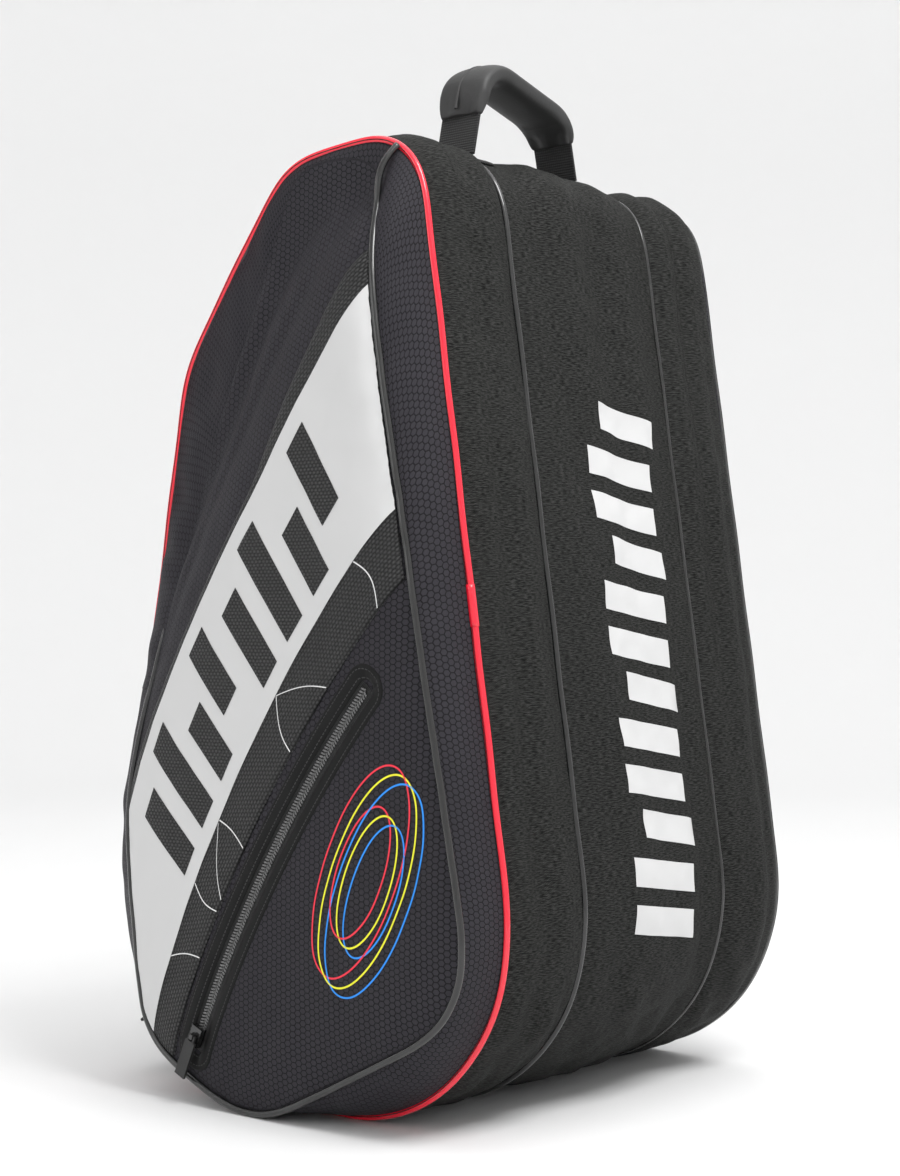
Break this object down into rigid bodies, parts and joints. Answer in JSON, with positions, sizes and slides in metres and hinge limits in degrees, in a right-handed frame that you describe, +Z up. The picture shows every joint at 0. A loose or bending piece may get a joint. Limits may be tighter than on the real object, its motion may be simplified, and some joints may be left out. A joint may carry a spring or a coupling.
{
  "type": "racket bag",
  "caption": "Upright three-compartment racket bag with a front pocket, side zips, a padded top handle and two shoulder straps.",
  "frame": {"origin": "on the floor under the middle of the base, at the face the bag stands on", "axes": "+Z up the bag, -Y towards the front face with the pocket, -X towards the shoulder straps"},
  "size_m": [0.3322, 0.3316, 0.6402],
  "materials": {
    "hex_fabric": "dark grey ripstop with a fine hexagonal pattern",
    "gusset_fabric": "charcoal twill with a fine light weave",
    "divider_fabric": "smooth lining cloth",
    "red_piping": "glossy red vinyl cord",
    "black_piping": "glossy black vinyl cord",
    "band_mesh": "coarse black carbon-look mesh",
    "print_film": "silvery white satin film",
    "zip_film": "smooth black welded film with stitching",
    "zip_tape": "black nylon coil and woven tape",
    "slider_metal": "black enamelled die casting",
    "pull_film": "moulded black pull",
    "webbing": "ribbed black webbing",
    "sleeve_fabric": "black padded fabric",
    "pad_fabric": "black air mesh over foam",
    "buckle_plastic": "black moulded plastic",
    "board_plastic": "stiff plastic sheet"
  },
  "bodies": {
    "bag": {"back_pad": "pad_fabric", "band_film": "print_film", "base_board": "board_plastic", "front_divider": "divider_fabric", "front_gusset": "gusset_fabric", "front_lining": "divider_fabric", "front_panel": "hex_fabric", "front_piping": "red_piping", "front_seam_piping": "black_piping", "front_zip": "zip_tape", "handle_front_anchor": "gusset_fabric", "handle_rear_anchor": "gusset_fabric", "main_gusset": "gusset_fabric", "main_lining": "divider_fabric", "main_zip": "zip_tape", "mesh_band": "band_mesh", "pocket_piping": "black_piping", "pocket_shell": "hex_fabric", "pocket_zip": "zip_tape", "pocket_zip_frame": "zip_film", "rear_divider": "divider_fabric", "rear_gusset": "gusset_fabric", "rear_lining": "divider_fabric", "rear_panel": "gusset_fabric", "rear_piping": "black_piping", "rear_seam_piping": "black_piping", "rear_zip": "zip_tape", "strap_anchor_patch": "gusset_fabric", "strap_front_tab": "webbing", "strap_rear_tab": "webbing"},
    "front_flap": {"front_flap": "gusset_fabric", "front_flap_zip": "zip_tape"},
    "front_slider": {"front_slider": "slider_metal"},
    "front_pull": {"front_pull": "pull_film"},
    "main_flap": {"main_flap": "gusset_fabric", "main_flap_zip": "zip_tape"},
    "main_slider": {"main_slider": "slider_metal"},
    "main_pull": {"main_pull": "pull_film"},
    "rear_flap": {"rear_flap": "gusset_fabric", "rear_flap_zip": "zip_tape"},
    "rear_slider": {"rear_slider": "slider_metal"},
    "rear_pull": {"rear_pull": "pull_film"},
    "pocket_slider": {"pocket_slider": "slider_metal"},
    "pocket_pull": {"pocket_pull": "pull_film"},
    "strap_front": {"strap_front_pad": "pad_fabric"},
    "strap_front_tail": {"strap_front_lock": "buckle_plastic", "strap_front_webbing": "webbing"},
    "strap_rear": {"strap_rear_pad": "pad_fabric"},
    "strap_rear_tail": {"strap_rear_lock": "buckle_plastic", "strap_rear_webbing": "webbing"},
    "handle": {"handle_webbing": "webbing", "handle_sleeve": "sleeve_fabric"}
  },
  "joints": [
    {"name": "front_flap_open", "type": "hinge", "parent": "bag", "child": "front_flap", "pos_m": [-0.15525, -0.1361, 0.14579], "axis": [0.1739, 0, 0.9848], "range_deg": [0, 100]},
    {"name": "front_slider_run", "type": "slide", "parent": "bag", "child": "front_slider", "axis": [0.1739, 0, 0.9848], "range_m": [0, 0.2718]},
    {"name": "front_pull_turn", "type": "hinge", "parent": "front_slider", "child": "front_pull", "pos_m": [-0.15672, -0.0838, 0.15418], "axis": [0, 1, 0], "range_deg": [0, 160]},
    {"name": "main_flap_open", "type": "hinge", "parent": "bag", "child": "main_flap", "pos_m": [-0.02974, -0.0637, 0.54774], "axis": [0, 1, 0], "range_deg": [0, 100]},
    {"name": "main_slider_run", "type": "slide", "parent": "bag", "child": "main_slider", "axis": [0, 1, 0], "range_m": [0, 0.1194]},
    {"name": "main_pull_turn", "type": "hinge", "parent": "main_slider", "child": "main_pull", "pos_m": [-0.08526, -0.0557, 0.47875], "axis": [-0.6011, 0, -0.7992], "range_deg": [0, 160]},
    {"name": "rear_flap_open", "type": "hinge", "parent": "bag", "child": "rear_flap", "pos_m": [-0.1052, 0.1361, 0.42921], "axis": [-0.1739, 0, -0.9848], "range_deg": [0, 100]},
    {"name": "rear_slider_run", "type": "slide", "parent": "bag", "child": "rear_slider", "axis": [0.1739, 0, 0.9848], "range_m": [0, 0.2718]},
    {"name": "rear_pull_turn", "type": "hinge", "parent": "rear_slider", "child": "rear_pull", "pos_m": [-0.15672, 0.0918, 0.15418], "axis": [0, 1, 0], "range_deg": [0, 160]},
    {"name": "pocket_slider_run", "type": "hinge", "parent": "bag", "child": "pocket_slider", "pos_m": [0.71485, -0.182, -0.29739], "axis": [0, 1, 0], "range_deg": [0, 16.64]},
    {"name": "pocket_pull_turn", "type": "hinge", "parent": "pocket_slider", "child": "pocket_pull", "pos_m": [-0.04978, -0.1849, 0.04332], "axis": [-0.9134, 0, 0.407], "range_deg": [0, 160]},
    {"name": "strap_front_swing", "type": "hinge", "parent": "bag", "child": "strap_front", "pos_m": [-0.11525, -0.034, 0.40966], "axis": [0, 1, 0], "range_deg": [0, 20]},
    {"name": "strap_front_lock_tilt", "type": "hinge", "parent": "strap_front", "child": "strap_front_tail", "pos_m": [-0.16847, -0.034, 0.14711], "axis": [0, 1, 0], "range_deg": [0, 25]},
    {"name": "strap_rear_swing", "type": "hinge", "parent": "bag", "child": "strap_rear", "pos_m": [-0.11525, 0.042, 0.40966], "axis": [0, 1, 0], "range_deg": [0, 20]},
    {"name": "strap_rear_lock_tilt", "type": "hinge", "parent": "strap_rear", "child": "strap_rear_tail", "pos_m": [-0.16847, 0.042, 0.14711], "axis": [0, 1, 0], "range_deg": [0, 25]},
    {"name": "handle_swing", "type": "hinge", "parent": "bag", "child": "handle", "pos_m": [0.05, 0, 0.57805], "axis": [0, 1, 0], "range_deg": [-40, 40], "stiffness_Nm_per_rad": 0.12}
  ]
}
